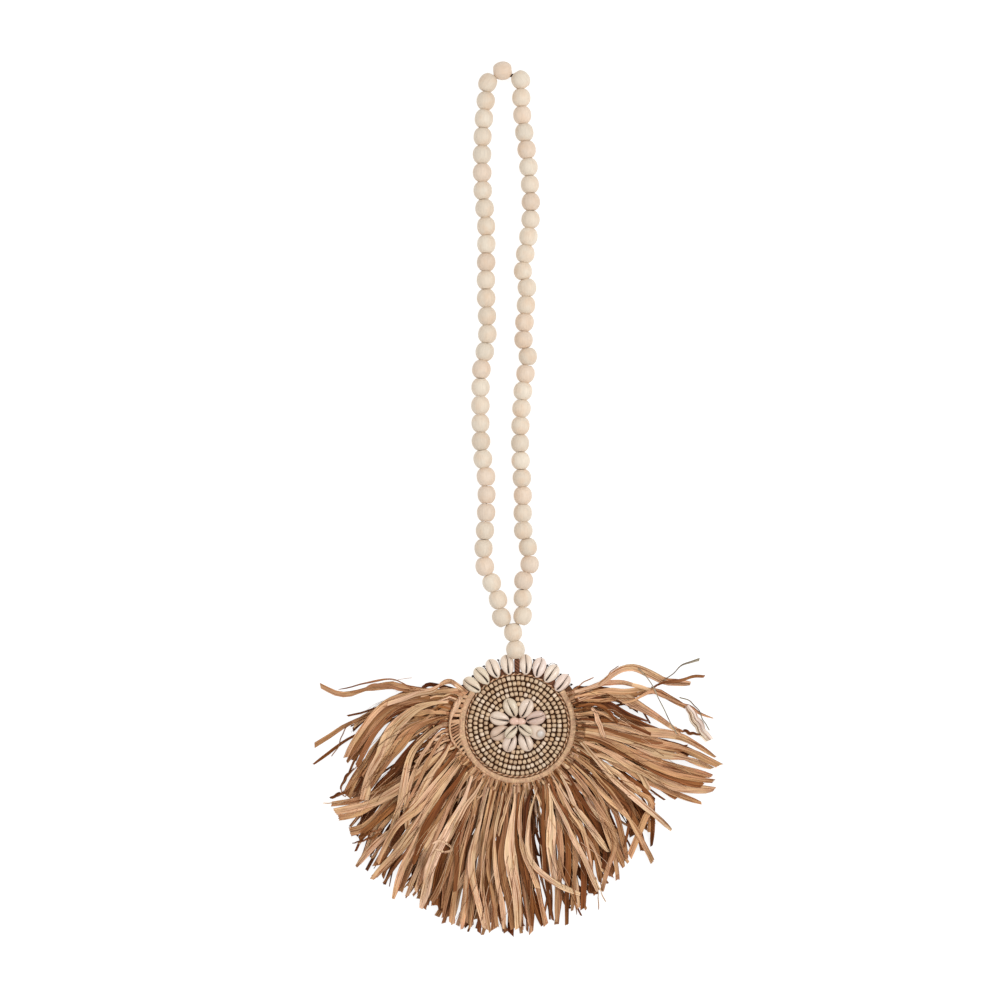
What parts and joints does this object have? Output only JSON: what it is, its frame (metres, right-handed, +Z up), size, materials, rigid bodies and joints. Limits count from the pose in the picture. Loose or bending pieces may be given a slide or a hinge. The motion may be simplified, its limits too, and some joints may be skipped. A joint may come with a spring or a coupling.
{
  "type": "beaded raffia tassel with a hanging loop of wooden beads",
  "caption": "Round beaded disc with cowrie shells, a fan of raffia fringe round its sides and foot, and a long narrow hanging loop of round wooden beads, lying flat.",
  "frame": {"origin": "centre of the disc, on its flat underside", "axes": "+Z up out of the face of the disc, +Y from the disc along the hanging loop, +X to the right as it is looked at"},
  "size_m": [0.35, 0.7467, 0.0197],
  "materials": {
    "wood": "pale bare wood, sanded smooth, faint grain",
    "cord": "brown waxed cord",
    "ground": "dark brown crocheted ground",
    "seed_bead": "cream and gold seed beads, satin",
    "raffia_band": "tan raffia wound and stitched",
    "raffia": "dry raffia ribbons, tan to dark brown, soft sheen",
    "shell": "off-white cowrie shell, glossy"
  },
  "bodies": {
    "root": {"left_beads_1": "wood", "left_beads_2": "wood", "left_beads_3": "wood", "left_beads_4": "wood", "left_beads_5": "wood", "left_beads_6": "wood", "left_beads_7": "wood", "left_beads_8": "wood", "right_beads_1": "wood", "right_beads_2": "wood", "right_beads_3": "wood", "right_beads_4": "wood", "right_beads_5": "wood", "right_beads_6": "wood", "right_beads_7": "wood", "right_beads_8": "wood", "top_bead": "wood", "neck_beads": "wood", "stem": "cord", "disc_backing": "ground", "edge_coil": "raffia_band", "raffia_band": "raffia_band", "seed_row_1": "seed_bead", "seed_row_2": "seed_bead", "seed_row_3": "seed_bead", "seed_row_4": "seed_bead", "rim_shell_1": "shell", "rim_shell_2": "shell", "rim_shell_3": "shell", "rim_shell_4": "shell", "rim_shell_5": "shell", "rim_shell_6": "shell", "rim_shell_7": "shell", "rim_shell_8": "shell", "petal_1": "shell", "petal_2": "shell", "petal_3": "shell", "petal_4": "shell", "petal_5": "shell", "petal_6": "shell", "petal_7": "shell", "petal_8": "shell", "upper_shell_1": "shell", "upper_shell_2": "shell", "centre_lobe_1": "shell", "centre_lobe_2": "shell", "fringe": "raffia"}
  },
  "joints": []
}
